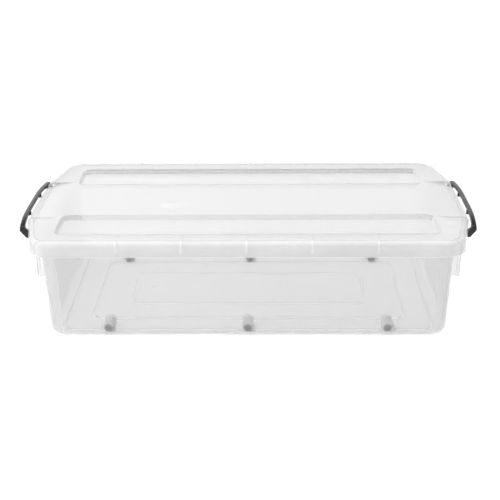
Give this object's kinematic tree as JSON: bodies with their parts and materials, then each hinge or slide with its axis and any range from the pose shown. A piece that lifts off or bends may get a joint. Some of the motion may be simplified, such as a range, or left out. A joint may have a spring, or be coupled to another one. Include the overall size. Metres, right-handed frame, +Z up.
{
  "type": "under bed storage box",
  "caption": "Low clear plastic storage box with a lift-off lid, a hinged clip handle at each end and small wheels under the floor.",
  "frame": {"origin": "centre of the footprint, on the floor under the wheels", "axes": "+X along the length, with a handle at each end; +Y to the back; +Z up"},
  "size_m": [0.8088, 0.398, 0.196],
  "materials": {
    "tub_plastic": "clear, glossy",
    "lid_plastic": "clear, glossy, slightly hazy",
    "handle_plastic": "satin black",
    "wheel_plastic": "matte grey",
    "axle_plastic": "matte dark grey"
  },
  "bodies": {
    "tub": {"tub": "tub_plastic", "axle_front_left": "axle_plastic", "axle_front_middle": "axle_plastic", "axle_front_right": "axle_plastic", "axle_rear_left": "axle_plastic", "axle_rear_middle": "axle_plastic", "axle_rear_right": "axle_plastic"},
    "lid": {"lid": "lid_plastic"},
    "handle_left": {"handle_left": "handle_plastic"},
    "handle_right": {"handle_right": "handle_plastic"},
    "wheel_front_left": {"wheel_front_left": "wheel_plastic"},
    "wheel_front_middle": {"wheel_front_middle": "wheel_plastic"},
    "wheel_front_right": {"wheel_front_right": "wheel_plastic"},
    "wheel_rear_left": {"wheel_rear_left": "wheel_plastic"},
    "wheel_rear_middle": {"wheel_rear_middle": "wheel_plastic"},
    "wheel_rear_right": {"wheel_rear_right": "wheel_plastic"}
  },
  "joints": [
    {"name": "lid_lift", "type": "slide", "parent": "tub", "child": "lid", "axis": [0, 0, 1], "range_m": [0, 0.25]},
    {"name": "handle_left_hinge", "type": "hinge", "parent": "tub", "child": "handle_left", "pos_m": [-0.388, 0, 0.1686], "axis": [0, -1, 0], "range_deg": [0, 140]},
    {"name": "handle_right_hinge", "type": "hinge", "parent": "tub", "child": "handle_right", "pos_m": [0.388, 0, 0.1686], "axis": [0, 1, 0], "range_deg": [0, 140]},
    {"name": "wheel_front_left_spin", "type": "hinge", "parent": "tub", "child": "wheel_front_left", "pos_m": [-0.2486, -0.1425, 0.009], "axis": [0, 1, 0], "continuous": true},
    {"name": "wheel_front_middle_spin", "type": "hinge", "parent": "tub", "child": "wheel_front_middle", "pos_m": [0, -0.1425, 0.009], "axis": [0, 1, 0], "continuous": true},
    {"name": "wheel_front_right_spin", "type": "hinge", "parent": "tub", "child": "wheel_front_right", "pos_m": [0.2486, -0.1425, 0.009], "axis": [0, 1, 0], "continuous": true},
    {"name": "wheel_rear_left_spin", "type": "hinge", "parent": "tub", "child": "wheel_rear_left", "pos_m": [-0.2486, 0.1425, 0.009], "axis": [0, 1, 0], "continuous": true},
    {"name": "wheel_rear_middle_spin", "type": "hinge", "parent": "tub", "child": "wheel_rear_middle", "pos_m": [0, 0.1425, 0.009], "axis": [0, 1, 0], "continuous": true},
    {"name": "wheel_rear_right_spin", "type": "hinge", "parent": "tub", "child": "wheel_rear_right", "pos_m": [0.2486, 0.1425, 0.009], "axis": [0, 1, 0], "continuous": true}
  ]
}
